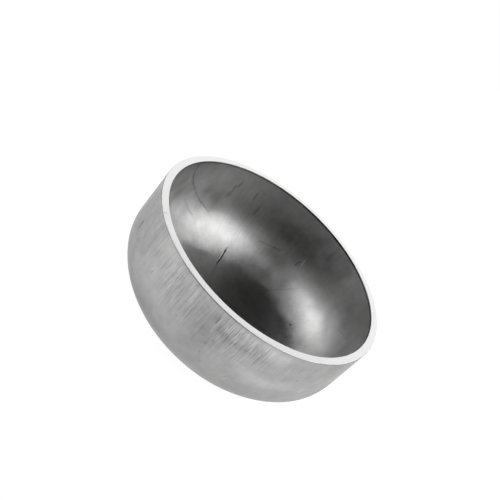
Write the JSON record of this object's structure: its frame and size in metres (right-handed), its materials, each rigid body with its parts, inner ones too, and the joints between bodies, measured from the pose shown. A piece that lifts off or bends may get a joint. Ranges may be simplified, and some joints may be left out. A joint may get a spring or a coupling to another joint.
{
  "type": "butt-weld pipe cap",
  "caption": "Domed steel cap with a short cylindrical skirt, butt-welded over the open end of a pipe to close it.",
  "frame": {"origin": "centre of the weld face, the flat ring at the cap's mouth", "axes": "+Z along the cap's axis, out of the mouth and towards the pipe; the dome hangs below, so its crown is the lowest point; X and Y are any two directions across the mouth, as the cap is a body of revolution"},
  "size_m": [0.3238, 0.3238, 0.152],
  "materials": {
    "steel": "blasted and unpainted, with draw marks from pressing and a machined weld face"
  },
  "bodies": {
    "root": {"cap_shell": "steel"}
  },
  "joints": []
}
